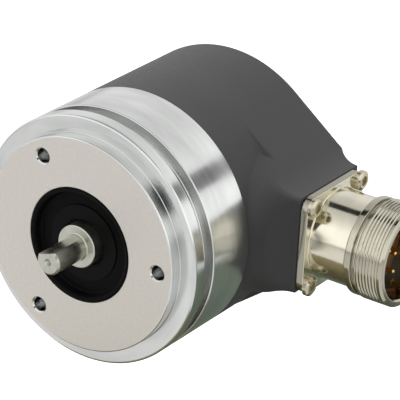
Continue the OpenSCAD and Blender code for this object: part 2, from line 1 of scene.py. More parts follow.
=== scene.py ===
"""Looks of a rotary encoder: flange, shaft, painted housing, round connector and all inner pieces."""

import bmesh
import bpy
import numpy as np
from mathutils import Matrix, Vector, geometry


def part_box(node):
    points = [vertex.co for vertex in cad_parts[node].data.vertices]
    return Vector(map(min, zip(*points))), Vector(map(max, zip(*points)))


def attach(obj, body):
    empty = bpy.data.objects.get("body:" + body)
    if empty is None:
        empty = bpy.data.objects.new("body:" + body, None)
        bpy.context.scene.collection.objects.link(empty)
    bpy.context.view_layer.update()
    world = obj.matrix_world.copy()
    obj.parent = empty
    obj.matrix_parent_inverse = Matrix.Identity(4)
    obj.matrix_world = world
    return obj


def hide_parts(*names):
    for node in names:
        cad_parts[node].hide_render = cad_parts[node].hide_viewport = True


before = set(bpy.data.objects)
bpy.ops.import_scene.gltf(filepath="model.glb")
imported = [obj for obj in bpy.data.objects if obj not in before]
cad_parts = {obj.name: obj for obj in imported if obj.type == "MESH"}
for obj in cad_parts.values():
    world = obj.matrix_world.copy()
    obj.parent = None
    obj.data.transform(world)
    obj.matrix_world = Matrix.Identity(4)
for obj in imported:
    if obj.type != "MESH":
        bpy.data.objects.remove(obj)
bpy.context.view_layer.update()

bl_info = {
    "name": "Rotary Encoder Looks",
    "version": (1, 0, 0),
    "blender": (4, 5, 0),
    "location": "View3D > Sidebar > Encoder",
    "description": "Builds the finished surfaces and materials of a rotary encoder round its CAD frame",
    "category": "Object",
}

MM = 0.001
TAU = 2 * np.pi

# Measures of the frame, in metres
FLANGE_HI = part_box("flange")[1]
HOUSING_LO, HOUSING_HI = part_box("housing")
CAP_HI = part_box("seal_cap")[1]
SEAL_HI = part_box("shaft_seal")[1]
SHAFT_LO, SHAFT_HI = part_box("shaft")
GASKET_LO, GASKET_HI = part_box("connector_gasket")
SHELL_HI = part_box("connector_shell")[1]
INSERT_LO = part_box("connector_insert")[0]
COVERS_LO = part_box("housing_screws")[0]
BODY_R = FLANGE_HI.z
CONN_Y = (GASKET_LO.y + GASKET_HI.y) / 2
PLATE_HALF = SHELL_HI.z


# Meshes

def arc(a, b, c, radius, steps=5):
    """Round corner: the arc of that radius that touches the lines a-b and b-c, from the first to the second."""
    a, b, c = (np.asarray(p, float) for p in (a, b, c))
    u, v = (a - b) / np.linalg.norm(a - b), (c - b) / np.linalg.norm(c - b)
    half = np.arccos(np.clip(u @ v, -1, 1)) / 2
    reach = radius / np.tan(half)
    middle = b + (u + v) / np.linalg.norm(u + v) * radius / np.sin(half)
    start, end = b + u * reach - middle, b + v * reach - middle
    turn = np.arccos(np.clip(start @ end / radius**2, -1, 1))
    side = np.sign(start[0] * end[1] - start[1] * end[0])
    t = side * turn * np.linspace(0, 1, steps + 1)
    ahead = np.array([-start[1], start[0]])
    return middle + np.outer(np.cos(t), start) + np.outer(np.sin(t), ahead)


def outline(points, guard=0.04 * MM, closed=False):
    """Profile from corners (s, r, rounding): each corner becomes an arc, and each long straight line gets a
    point just inside both ends, so that smooth shading stays flat on it."""
    p = np.array([q[:2] for q in points], float)
    radius = [q[2] if len(q) > 2 else 0 for q in points]
    n = len(p)
    pieces = []
    for i in range(n):
        if radius[i] > 0 and (closed or 0 < i < n - 1):
            pieces.append(arc(p[i - 1], p[i], p[(i + 1) % n], radius[i]))
        else:
            pieces.append(p[i : i + 1])
    line = [pieces[0]]
    for q in pieces[1:] + ([pieces[0]] if closed else []):
        a, b = line[-1][-1], q[0]
        d = np.linalg.norm(b - a)
        if d > 4 * guard:
            line.append(np.array([a + (b - a) * guard / d, b - (b - a) * guard / d]))
        line.append(q)
    if closed:
        line[-1] = line[-1][:0]
    return np.concatenate(line)


def grid_faces(nu, nv, wrap_u=False, wrap_v=False, flip=False, start=0):
    """Quads of an nu by nv grid of points, stored row after row."""
    i = np.arange(nu if wrap_u else nu - 1)
    j = np.arange(nv if wrap_v else nv - 1)
    i, j = (m.ravel() for m in np.meshgrid(i, j, indexing="ij"))
    i2, j2 = (i + 1) % nu, (j + 1) % nv
    quads = np.stack([i * nv + j, i2 * nv + j, i2 * nv + j2, i * nv + j2], 1) + start
    return quads[:, ::-1] if flip else quads


class Shape:
    """Collects grids and flat faces of one piece, then makes one closed mesh of them."""

    def __init__(self):
        self.points, self.faces, self.count = [], [], 0

    def grid(self, p, wrap_u=False, wrap_v=False, flip=False):
        """Adds a grid of points, an array of shape (nu, nv, 3)."""
        nu, nv = p.shape[:2]
        self.faces += grid_faces(nu, nv, wrap_u, wrap_v, flip, self.count).tolist()
        self.points.append(p.reshape(-1, 3))
        self.count += nu * nv
        return self

    def fill(self, loops, place, up):
        """Adds a flat face between 2-D loops, the first one outside and the others its holes.
        place turns flat points into 3-D points, and up is the side the face looks to."""
        flat = np.concatenate(loops)
        ends = np.cumsum([len(q) for q in loops])
        edges = []
        for q, e in zip(loops, ends):
            edges += [(k, k + 1 if k + 1 < e else e - len(q)) for k in range(e - len(q), e)]
        corners = [Vector(q) for q in flat * 1000]
        verts, _, faces, _, _, _ = geometry.delaunay_2d_cdt(corners, edges, [], 0, 1e-7)
        flat = np.array([list(v) for v in verts]) / 1000
        tri = np.array([f for f in faces if len(f) == 3])
        mid = flat[tri].mean(1)
        keep = inside(mid, loops[0])
        for q in loops[1:]:
            keep &= ~inside(mid, q)
        tri = tri[keep]
        solid = place(flat)
        a, b, c = (solid[tri[:, k]] for k in range(3))
        wrong = np.cross(b - a, c - a) @ np.asarray(up, float) < 0
        tri[wrong] = tri[wrong][:, ::-1]
        self.faces += (tri + self.count).tolist()
        self.points.append(solid)
        self.count += len(solid)
        return self

    def add(self, other, move=(0, 0, 0)):
        """Adds a copy of another shape, moved."""
        self.points += [q + np.asarray(move, float) for q in other.points]
        self.faces += [[k + self.count for k in f] for f in other.faces]
        self.count += other.count
        return self

    def turned(self, turn, move=(0, 0, 0)):
        """A copy of the shape, turned by a 3 by 3 matrix and then moved."""
        copy = Shape()
        copy.points = [q @ np.asarray(turn).T + np.asarray(move, float) for q in self.points]
        copy.faces, copy.count = self.faces, self.count
        return copy

    def piece(self, name, body, material, slot, replaces):
        """Makes the mesh object, joins its seams, points its faces outwards and puts it on its body."""
        mesh = bpy.data.meshes.new(name)
        mesh.from_pydata(np.concatenate(self.points).tolist(), [], self.faces)
        mesh.validate()
        obj = bpy.data.objects.new(name, mesh)
        bpy.context.scene.collection.objects.link(obj)
        join_seams(mesh)
        mesh.shade_smooth()
        mesh.set_sharp_from_angle(angle=np.radians(35))
        mesh.materials.append(material)
        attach(obj, body)
        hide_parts(replaces)


def join_seams(mesh):
    """Merges points that share a place, drops empty faces and points all faces outwards."""
    bm = bmesh.new()
    bm.from_mesh(mesh)
    bmesh.ops.remove_doubles(bm, verts=bm.verts, dist=2e-7)
    bmesh.ops.dissolve_degenerate(bm, edges=bm.edges, dist=1e-7)
    bmesh.ops.recalc_face_normals(bm, faces=bm.faces)
    bm.to_mesh(mesh)
    bm.free()


def inside(points, loop):
    """Which 2-D points lie in a closed loop: those from which a ray crosses it an odd number of times."""
    a, b = loop, np.roll(loop, -1, 0)
    x, y = points[:, :1], points[:, 1:]
    with np.errstate(divide="ignore", invalid="ignore"):
        cross = (a[:, 1] > y) != (b[:, 1] > y)
        at = a[:, 0] + (y - a[:, 1]) / (b[:, 1] - a[:, 1]) * (b[:, 0] - a[:, 0])
    return (cross & (x < at)).sum(1) % 2 == 1


def circle(radius, n, centre=(0, 0)):
    """Points of a circle: centre plus radius times (cos t, sin t), n steps of t in a full turn."""
    t = np.arange(n) / n * TAU
    return np.stack([centre[0] + radius * np.cos(t), centre[1] + radius * np.sin(t)], 1)


def turn_about_y(profile, n=192, centre=(0, 0)):
    """Turned surface: the profile (y, r) goes round the Y axis, x = r cos t and z = r sin t."""
    t = np.arange(n)[None, :] / n * TAU
    y, r = profile[:, :1], profile[:, 1:]
    return np.stack([centre[0] + r * np.cos(t), y + 0 * t, centre[1] + r * np.sin(t)], 2)


def turn_about_x(profile, n=128, centre=(0, 0)):
    """Turned surface: the profile (x, r) goes round the X axis, y = r cos t and z = r sin t."""
    t = np.arange(n)[None, :] / n * TAU
    x, r = profile[:, :1], profile[:, 1:]
    return np.stack([x + 0 * t, centre[0] + r * np.cos(t), centre[1] + r * np.sin(t)], 2)


def on_y(y):
    """Places flat points (x, z) in the plane of that y."""
    return lambda q: np.stack([q[:, 0], np.full(len(q), y), q[:, 1]], 1)


def on_x(x):
    """Places flat points (y, z) in the plane of that x."""
    return lambda q: np.stack([np.full(len(q), x), q[:, 0], q[:, 1]], 1)


def round_square(half, radius, n=12, centre=(0, 0)):
    """Square with round corners: four quarter circles of that radius, joined by straight sides."""
    t = np.linspace(0, np.pi / 2, n + 1)
    k = np.arange(4)[:, None]
    a = t[None, :] + k * np.pi / 2
    cx = (half - radius) * np.array([1, -1, -1, 1])[:, None]
    cy = (half - radius) * np.array([1, 1, -1, -1])[:, None]
    x, y = centre[0] + cx + radius * np.cos(a), centre[1] + cy + radius * np.sin(a)
    return np.stack([x.ravel(), y.ravel()], 1)


# Materials

class Nodes:
    """Short way to add and link shader nodes."""

    def __init__(self, tree):
        self.tree = tree

    def put(self, value, socket):
        """Links a socket to another one, or sets it to a plain value."""
        if isinstance(value, bpy.types.NodeSocket):
            self.tree.links.new(value, socket)
        else:
            socket.default_value = value

    def add(self, kind, inputs=None, **settings):
        """Adds a shader node with its settings and its inputs."""
        node = self.tree.nodes.new("ShaderNode" + kind)
        for key, value in settings.items():
            setattr(node, key, value)
        for key, value in (inputs or {}).items():
            self.put(value, node.inputs[key])
        return node

    def math(self, operation, a, b=0.0):
        return self.add("Math", {0: a, 1: b}, operation=operation).outputs[0]

    def times(self, a, b):
        return self.math("MULTIPLY", a, b)

    def mix(self, factor, a, b):
        """From colour a to colour b."""
        return self.add("Mix", {0: factor, 6: a, 7: b}, data_type="RGBA").outputs[2]

    def mix_value(self, factor, a, b):
        """From number a to number b."""
        return self.add("Mix", {0: factor, 2: a, 3: b}, data_type="FLOAT").outputs[0]

    def noise(self, vector, scale, detail=2.0, rough=0.5):
        inputs = {"Vector": vector, "Scale": scale, "Detail": detail, "Roughness": rough}
        return self.add("TexNoise", inputs).outputs["Fac"]

    def span(self, value, low, high, to_low=0.0, to_high=1.0):
        """Maps low..high to to_low..to_high, and no further."""
        inputs = {0: value, 1: low, 2: high, 3: to_low, 4: to_high}
        return self.add("MapRange", inputs, clamp=True).outputs[0]

    def spot(self):
        """Object coordinates, which are the frame's own."""
        return self.add("TexCoord").outputs["Object"]

    def parts(self, vector):
        return self.add("SeparateXYZ", {0: vector}).outputs

    def joined(self, x, y, z):
        return self.add("CombineXYZ", {0: x, 1: y, 2: z}).outputs[0]

    def radius(self, part):
        """Distance from the Y axis: the root of x squared plus z squared."""
        return self.math("SQRT", self.math("ADD", self.times(part[0], part[0]), self.times(part[2], part[2])))

    def angle(self, part):
        """Angle round the Y axis."""
        return self.math("ARCTAN2", part[2], part[0])

    def use(self, tree, vector, **values):
        """Places a node group with a vector and plain values, and returns its outputs."""
        node = self.add("Group", {"Vector": vector}, node_tree=tree)
        for key, value in values.items():
            node.inputs[key.capitalize().replace("_", " ")].default_value = value
        return node.outputs


def group(name, inputs, outputs, build):
    """Shader node group with named inputs and outputs, made once."""
    if name in bpy.data.node_groups:
        return bpy.data.node_groups[name]
    tree = bpy.data.node_groups.new(name, "ShaderNodeTree")
    tree.interface.new_socket("Vector", in_out="INPUT", socket_type="NodeSocketVector")
    for label, value in inputs.items():
        socket = tree.interface.new_socket(label, in_out="INPUT", socket_type="NodeSocketFloat")
        socket.default_value = value
    for label in outputs:
        tree.interface.new_socket(label, in_out="OUTPUT", socket_type="NodeSocketFloat")
    made = build(Nodes(tree), tree.nodes.new("NodeGroupInput").outputs)
    out = tree.nodes.new("NodeGroupOutput")
    for label, socket in zip(outputs, made):
        tree.links.new(socket, out.inputs[label])
    return tree


def turning_marks():
    """Group: fine rings round the Y axis. The noise is stretched along the turn, so it changes fast with the way
    along the axis and with the radius, and slowly with the angle."""

    def build(n, given):
        part = n.parts(given["Vector"])
        radius, fold = n.radius(part), n.math("ABSOLUTE", n.angle(part))

        def rings(many, round_the_axis):
            return n.joined(n.times(part[1], many), n.times(radius, many), n.times(fold, round_the_axis))

        return [n.noise(rings(given["Rings"], 3.0), 1.0, 3.0, 0.6), n.noise(rings(260.0, 1.6), 1.0)]

    return group("Turning marks", {"Rings": 2600.0}, ["Fine", "Broad"], build)


def surface_grain():
    """Group: fine grain, medium unevenness and broad clouds, three noises of falling frequency."""

    def build(n, given):
        at = given["Vector"]
        medium = n.noise(at, given["Medium scale"], 3.0, 0.55)
        return [n.noise(at, given["Fine scale"]), medium, n.noise(at, given["Broad scale"])]

    scales = {"Fine scale": 4000.0, "Medium scale": 900.0, "Broad scale": 90.0}
    return group("Surface grain", scales, ["Fine", "Medium", "Broad"], build)


def material(name, metallic=0.0, **fixed):
    """New material with a Principled shader; returns it with its nodes and shader."""
    m = bpy.data.materials.new(name)
    m.use_nodes = True
    shader = m.node_tree.nodes["Principled BSDF"]
    shader.inputs["Metallic"].default_value = metallic
    for key, value in fixed.items():
        shader.inputs[key.replace("_", " ")].default_value = value
    return m, Nodes(m.node_tree), shader


def tint(colour, k):
    """The colour, lighter or darker by the factor k."""
    return (*(min(1, part * k) for part in colour[:3]), 1.0)


def wire_up(n, shader, colour, roughness, height, bump, distance=0.00001):
    """Links colour, roughness and bump height to the shader."""
    n.put(colour, shader.inputs["Base Color"])
    n.put(roughness, shader.inputs["Roughness"])
    node = n.add("Bump", {"Height": height, "Strength": bump, "Distance": distance})
    n.put(node.outputs[0], shader.inputs["Normal"])


def turned_metal(name, colour, rough, rings=2600.0, bump=0.15, contrast=0.08):
    """Metal with turning marks round the Y axis."""
    m, n, shader = material(name, 1.0)
    fine, broad = n.use(turning_marks(), n.spot(), rings=rings)
    shade = n.mix(n.span(broad, 0.3, 0.7), tint(colour, 1 - contrast), tint(colour, 1 + contrast))
    broad_rough = n.span(broad, 0.3, 0.7, rough * 0.85, rough * 1.15)
    wire_up(n, shader, shade, n.math("ADD", broad_rough, n.span(fine, 0.3, 0.7, -0.03, 0.03)), fine, bump)
    return m


def grained(
    name, colour, rough, metallic=0.0, fine=2500.0, medium=900.0, broad=90.0, bump=0.2, depth=0.03 * MM,
    contrast=0.08, **fixed
):
    """Surface with grain, unevenness and clouds of colour."""
    m, n, shader = material(name, metallic, **fixed)
    f, md, b = n.use(surface_grain(), n.spot(), fine_scale=fine, medium_scale=medium, broad_scale=broad)
    cloud = n.math("ADD", n.times(b, 0.6), n.times(md, 0.4))
    shade = n.mix(n.span(cloud, 0.35, 0.65), tint(colour, 1 - contrast), tint(colour, 1 + contrast))
    height = n.math("ADD", n.times(f, 0.6), n.times(md, 0.4))
    wire_up(n, shader, shade, n.span(md, 0.3, 0.7, rough * 0.9, rough * 1.1), height, bump, depth)
    return m


# Shapes of the outside pieces

def disc_holes(radius, count, turn=0.0):
    """Centres (x, z) of holes on a circle, the first one turned by that angle."""
    t = turn + np.arange(count) / count * TAU
    return np.stack([radius * np.cos(t), radius * np.sin(t)], 1)


def flange_shape(spigot_r, cap_r, holes, hole_r):
    """Turned flange: spigot, rim, clamping groove and outer band outside. The front face is flat between the
    spigot, the bore and the tapped holes, and each hole is a countersink, a wall and a drill cone."""
    y0, band, back, out = 0.0, HOUSING_LO.y, FLANGE_HI.y, BODY_R
    rim, rim_back, groove_back, groove_r, reg = 3.0 * MM, 6.5 * MM, 9.8 * MM, out - 2.5 * MM, 26.95 * MM
    wall = outline([
        (y0, cap_r + 0.4 * MM), (y0, spigot_r, 0.3 * MM), (rim, spigot_r, 0.15 * MM),
        (rim, out, 0.55 * MM), (rim_back, out, 0.3 * MM), (rim_back, groove_r, 0.25 * MM),
        (groove_back, groove_r, 0.25 * MM), (groove_back, out, 0.3 * MM), (band, out, 0.15 * MM),
        (band, reg, 0.1 * MM), (back, reg, 0.3 * MM), (back, 12 * MM, 0.2 * MM), (24 * MM, 12 * MM),
        (24 * MM, 11.01 * MM, 0.1 * MM), (17.0 * MM, 11.01 * MM), (17.0 * MM, 9.4 * MM, 0.2 * MM),
        (12.6 * MM, 9.4 * MM, 0.2 * MM), (12.6 * MM, 13.01 * MM), (4.6 * MM, 13.01 * MM, 0.1 * MM),
        (4.6 * MM, cap_r), (0.12 * MM, cap_r, 0.1 * MM), (y0, cap_r + 0.14 * MM),
    ])
    face = np.nonzero(wall[:, 0] < 1e-9)[0]
    rim_out = wall[face[face < len(wall) // 2]][:, 1].max()
    rim_in = wall[face[face > len(wall) // 2]][:, 1].max()
    body = wall[face[wall[face, 1].argmax()] :]
    s = Shape()
    n = 240
    s.grid(turn_about_y(body, n), wrap_v=True)
    edge = 0.03 * MM
    ring_out, ring_in = circle(rim_out - edge, n), circle(rim_in + edge, n)
    s.grid(np.stack([on_y(0)(circle(rim_out, n)), on_y(0)(ring_out)]), wrap_v=True)
    s.grid(np.stack([on_y(0)(circle(rim_in, n)), on_y(0)(ring_in)]), wrap_v=True)
    mouth = hole_r + 0.4 * MM
    hole = outline([
        (0, mouth + edge), (0, mouth, 0.05 * MM), (0.4 * MM, hole_r, 0.05 * MM),
        (8 * MM, hole_r, 0.05 * MM), (8.9 * MM, 0.02 * MM), (8.9 * MM, 0),
    ], guard=0.02 * MM)
    for c in holes:
        s.grid(turn_about_y(hole, 48, c), wrap_v=True)
    s.fill([ring_out, ring_in] + [circle(mouth + edge, 48, c) for c in holes], on_y(0), (0, -1, 0))
    return s


def cap_shape(r, recess, back, lip_r):
    """Turned seal cap: a rim flush with the face, a soft step down to its floor and a hole for the seal."""
    ring = outline([
        (back, r), (0.25 * MM, r, 0.2 * MM), (0.05 * MM, r - 0.5 * MM, 0.25 * MM),
        (0.25 * MM, r - 1.15 * MM, 0.25 * MM), (recess, r - 1.5 * MM, 0.5 * MM),
        (recess, lip_r, 0.1 * MM), (recess + 1.2 * MM, lip_r, 0.1 * MM),
        (recess + 1.2 * MM, r - 1 * MM, 0.3 * MM), (back, r - 1 * MM),
    ], closed=True)
    return Shape().grid(turn_about_y(ring, 160), wrap_u=True, wrap_v=True)


def shaft_shape(flat_turn):
    """Ground shaft: a turned profile whose output end is cut by a plane, r = min(profile, plane / cos(t - turn)),
    and a small turned centre in its tip."""
    tip, journal_front, end_r, journal_r = SHAFT_LO.y, -0.9 * MM, 3.0 * MM, 5.0 * MM
    tail_r, journal_back, back = 4.0 * MM, 25.85 * MM, SHAFT_HI.y
    profile = outline([
        (tip + 1.3 * MM, 0), (tip + 0.5 * MM, 0.55 * MM, 0.03 * MM), (tip, 0.85 * MM, 0.05 * MM),
        (tip, end_r - 0.42 * MM, 0.1 * MM), (tip + 0.42 * MM, end_r, 0.1 * MM),
        (journal_front, end_r, 0.3 * MM), (journal_front, journal_r, 0.3 * MM),
        (3.7 * MM, journal_r, 0.1 * MM), (3.7 * MM, 6.25 * MM, 0.1 * MM),
        (4.6 * MM, 6.25 * MM, 0.1 * MM), (4.6 * MM, journal_r, 0.1 * MM),
        (24.03 * MM, journal_r, 0.02 * MM), (24.03 * MM, journal_r - 0.2 * MM, 0.02 * MM),
        (25.13 * MM, journal_r - 0.2 * MM, 0.02 * MM), (25.13 * MM, journal_r, 0.02 * MM),
        (journal_back, journal_r, 0.2 * MM), (journal_back, tail_r, 0.2 * MM),
        (back, tail_r, 0.3 * MM), (back, 0),
    ])
    flat, stop = end_r - 1.0 * MM, tip + 9.2 * MM
    root = stop + np.array([-0.05, -0.01, 0.01, 0.05]) * MM
    rows = np.insert(profile, np.argmax(profile[:, 0] > stop), np.stack([root, 0 * root + end_r], 1), 0)
    ends = np.arccos(flat / end_r) + np.array([-0.02, 0, 0.02])
    t = np.sort(np.concatenate([np.linspace(0, TAU, 144, endpoint=False), ends, TAU - ends]))
    y, r = rows[:, :1], rows[:, 1:] + 0 * t[None, :]
    plane = flat / np.maximum(np.cos(t), 0.2)[None, :]
    soft = 0.04 * MM
    cut = np.where(np.cos(t)[None, :] > 0.2, plane, 1.0)
    lowered = 0.5 * (r + cut - np.sqrt((r - cut) ** 2 + soft**2))
    r = np.where((y < stop) & (r > flat - 0.1 * MM), np.minimum(r, lowered), r)
    a = t[None, :] + np.pi / 2 + flat_turn
    return Shape().grid(np.stack([r * np.cos(a), y + 0 * a, r * np.sin(a)], 2), wrap_v=True)


def smooth_max(a, b, radius):
    """Larger of two distances, with the edge where they meet rounded to that radius."""
    past = np.hypot(np.maximum(a + radius, 0), np.maximum(b + radius, 0))
    return np.minimum(np.maximum(a, b), -radius) + past


def smooth_min(a, b, radius):
    """Smaller of two distances, with the corner where they meet filled to that radius."""
    return -smooth_max(-a, -b, radius)


def housing_distance(x, y, z):
    """How far a point lies outside the casting, in metres: the cylinder joined with a nose. Seen along the shaft, the
    nose leaves the cylinder in a straight slope and ends in an arc; its front is a round sweep and a round boss; its
    back runs to the casting's end and then sweeps in; its tip is flat. The foot of the front is filled to a radius
    that grows with the height of the step there, so it fades out where the nose runs into the cylinder."""
    out, end, nose_x, half = BODY_R, HOUSING_HI.y, HOUSING_HI.x, PLATE_HALF
    slope, blend, z = np.radians(53), 12 * MM, np.abs(z)
    c, s, rise = np.cos(slope), np.sin(slope), half + blend
    across = (out + blend - rise * s) / c
    around = np.hypot(x, z) - out
    flare = np.where(x > across, z - half, blend - np.hypot(x - across, z - rise))
    on_slope = (x - across + blend * c) * s < (z - rise + blend * s) * c
    flare = np.where(on_slope, x * c + z * s - out, flare)
    on_nose = (z * c < x * s) & (x > 0)
    side = np.where(on_nose, np.minimum(flare, around), around)
    step = np.clip(around - side, 0, None)
    sweep, front_y = 9 * MM, CONN_Y - half - 9 * MM
    plan = np.where(y < front_y, x - (nose_x - sweep), sweep - np.hypot(x - nose_x, y - front_y))
    boss = np.minimum(np.hypot(y - CONN_Y, z) - 18 * MM, CONN_Y - 7 * MM - y)
    front = smooth_max(plan, boss, 2.5 * MM)
    rear_r, rear_y = 8 * MM, CONN_Y + half + 8.5 * MM
    rear = np.where(x < nose_x - rear_r, y - end, rear_r - np.hypot(x - nose_x, y - rear_y))
    rear = np.where(y < rear_y, rear, x - nose_x + rear_r)
    rear = np.maximum(rear, y - end)
    cut = np.where(on_nose, smooth_max(side, front, np.clip(0.4 * step, 0, 0.8 * MM) + 1e-7), around)
    cut = smooth_max(cut, x - nose_x, 0.35 * MM)
    nose = smooth_max(cut, rear, 0.5 * MM)
    body = smooth_max(around, y - end, 0.5 * MM)
    fillet = np.minimum(2.5 * MM, step) * np.clip(1 + front / (1.5 * MM), 0, 1) + 1e-7
    return smooth_min(body, nose, fillet)


def housing_grid():
    """Outside of the casting as a grid over the angle round the shaft and the way along it. At each angle and y the
    radius is where housing_distance is zero, found by halving; rows are then spread evenly along each line."""
    fine = np.radians(np.arange(-46, 46.01, 0.42))
    coarse = np.radians(np.linspace(48.5, 311.5, 88))
    angle = np.concatenate([fine, coarse])
    y0, y1 = HOUSING_LO.y, HOUSING_HI.y
    brim = 0.1 * MM
    y = np.concatenate([np.linspace(y0, y1 - brim, 620), y1 - brim * (1 - np.linspace(0, 1, 24)[1:]) ** 2])
    a, yy = angle[:, None], y[None, :]
    lo, hi = np.full((len(angle), len(y)), 12 * MM), np.full((len(angle), len(y)), 45 * MM)
    for _ in range(26):
        mid = (lo + hi) / 2
        out = housing_distance(mid * np.cos(a), yy, mid * np.sin(a)) > 0
        hi, lo = np.where(out, mid, hi), np.where(out, lo, mid)
    radius = (lo + hi) / 2
    step = np.hypot(np.diff(radius, axis=1), np.diff(y)[None, :])
    run = np.concatenate([np.zeros((len(angle), 1)), np.cumsum(step, 1)], 1)
    share = run / run[:, -1:]
    rows = 210
    offset = 2.0 * np.arange(len(angle))[:, None]
    want = (np.linspace(0, 1, rows)[None, :] + offset).ravel()
    at = np.interp(want, (share + offset).ravel(), np.tile(y, len(angle))).reshape(len(angle), rows)
    rad = np.interp(want, (share + offset).ravel(), radius.ravel()).reshape(len(angle), rows)
    return angle, at, rad


def housing_shape(inner_r, screw_r, screw_spots, well_r, well_depth):
    """Casting: the outside grid, the flat back with its screw wells, the brim, and the inside wall and floor."""
    angle, at, rad = housing_grid()
    a = angle[:, None] + 0 * at
    grid = np.stack([rad * np.cos(a), at, rad * np.sin(a)], 2)
    s = Shape()
    s.grid(grid, wrap_u=True)
    end, front = HOUSING_HI.y, HOUSING_LO.y
    loop = grid[:, -1][:, [0, 2]]
    shrink = loop * (1 - 0.05 * MM / np.linalg.norm(loop, axis=1))[:, None]
    s.grid(np.stack([on_y(end)(loop), on_y(end)(shrink)]), wrap_v=True)
    well = outline([
        (end, well_r + 0.03 * MM), (end, well_r, 0.1 * MM), (end - well_depth, well_r, 0.1 * MM),
        (end - well_depth, screw_r), (end - 2 * MM, screw_r),
    ], guard=0.02 * MM)
    for c in screw_spots:
        s.grid(turn_about_y(well, 64, c), wrap_v=True)
    s.fill([shrink] + [circle(well_r + 0.03 * MM, 64, c) for c in screw_spots], on_y(end), (0, 1, 0))
    n = len(angle)
    inner = np.stack([inner_r * np.cos(angle), inner_r * np.sin(angle)], 1)
    s.grid(np.stack([on_y(front)(grid[:, 0][:, [0, 2]]), on_y(front)(inner)]), wrap_v=True)
    s.grid(np.stack([on_y(front)(inner), on_y(end - 2.02 * MM)(inner)]), wrap_v=True)
    s.fill([inner] + [circle(screw_r, 64, c) for c in screw_spots], on_y(end - 2 * MM), (0, -1, 0))
    return s


def shell_shape(screw_spots):
    """Connector shell: a square plate with round corners and four holes, and a turned barrel with a neck, a ring,
    a groove and a thread. The thread is r = crest - depth * wave(x / pitch - t / turn), fading out at both ends."""
    s = Shape()
    x0, x1, mouth = GASKET_HI.x, GASKET_HI.x + 1.7 * MM, SHELL_HI.x
    neck_r, crest, ring_x = 10.35 * MM, 11.5 * MM, x1 + 9.6 * MM
    bore, hole_r, plug_r, root = 9.7 * MM, 1.45 * MM, 8.4 * MM, neck_r + 0.35 * MM
    edge, corner, m = 0.18 * MM, 3.2 * MM, 180
    rows = [
        (x0, 0.14 * MM), (x0, 0.1 * MM), (x0 + 0.1 * MM, 0), (x1 - edge, 0),
        (x1 - edge * 0.62, edge * 0.08), (x1 - edge * 0.3, edge * 0.3), (x1 - edge * 0.08, edge * 0.62),
        (x1, edge), (x1, edge + 0.04 * MM),
    ]
    loops = [round_square(PLATE_HALF - d, corner - d, 12, (CONN_Y, 0)) for _, d in rows]
    s.grid(np.stack([on_x(x)(q) for (x, _), q in zip(rows, loops)]), wrap_v=True)
    lip = hole_r + 0.03 * MM
    mouths = [circle(lip, 40, c) for c in screw_spots]
    s.fill([loops[-1], circle(root, m, (CONN_Y, 0))] + mouths, on_x(x1), (1, 0, 0))
    s.fill([loops[0], circle(plug_r, m, (CONN_Y, 0))] + mouths, on_x(x0), (-1, 0, 0))
    hole = outline([(x1, lip), (x1, hole_r, 0.02 * MM), (x0, hole_r, 0.02 * MM), (x0, lip)], guard=0.01 * MM)
    for c in screw_spots:
        s.grid(turn_about_x(hole, 40, c), wrap_v=True)
    front = outline([
        (x1, root), (x1, neck_r, 0.25 * MM), (ring_x - 0.3 * MM, neck_r, 0.2 * MM),
        (ring_x - 0.3 * MM, neck_r - 0.18 * MM, 0.05 * MM), (ring_x, neck_r - 0.18 * MM, 0.05 * MM),
        (ring_x, crest - 0.15 * MM, 0.3 * MM), (ring_x + 1.7 * MM, crest - 0.15 * MM, 0.3 * MM),
        (ring_x + 1.7 * MM, crest - 1.0 * MM, 0.15 * MM),
        (ring_x + 2.7 * MM, crest - 1.0 * MM, 0.15 * MM),
        (ring_x + 2.7 * MM, crest - 0.2 * MM, 0.1 * MM), (ring_x + 3.0 * MM, crest),
    ])
    s.grid(turn_about_x(front, m, (CONN_Y, 0)), wrap_v=True)
    start, stop = ring_x + 3.0 * MM, mouth - 1.0 * MM
    x = np.linspace(start, stop, 130)[:, None]
    t = (np.arange(m) / m * TAU)[None, :]
    pitch, depth = 0.8 * MM, 0.26 * MM
    phase = ((x - start) / pitch - t / TAU) % 1
    wave = np.clip(1.25 - 2.5 * np.abs(phase - 0.5) * 1.25, 0, 1)
    fade = np.clip((x - start) / (0.5 * pitch), 0, 1) * np.clip((stop - x) / (0.5 * pitch), 0, 1)
    r = crest - depth * wave * fade
    s.grid(np.stack([x + 0 * t, CONN_Y + r * np.cos(t), r * np.sin(t)], 2), wrap_v=True)
    tail = outline([
        (stop, crest), (mouth - 0.55 * MM, crest, 0.1 * MM), (mouth, crest - 0.5 * MM, 0.12 * MM),
        (mouth, bore + 0.35 * MM, 0.12 * MM), (mouth - 0.4 * MM, bore, 0.1 * MM),
        (INSERT_LO.x + 2.0 * MM, bore), (INSERT_LO.x + 2.0 * MM, plug_r - 1 * MM),
        (x0 - 3 * MM, plug_r - 1 * MM, 0.2 * MM), (x0 - 3 * MM, plug_r, 0.2 * MM), (x0, plug_r),
    ])
    s.grid(turn_about_x(tail, m, (CONN_Y, 0)), wrap_v=True)
    return s


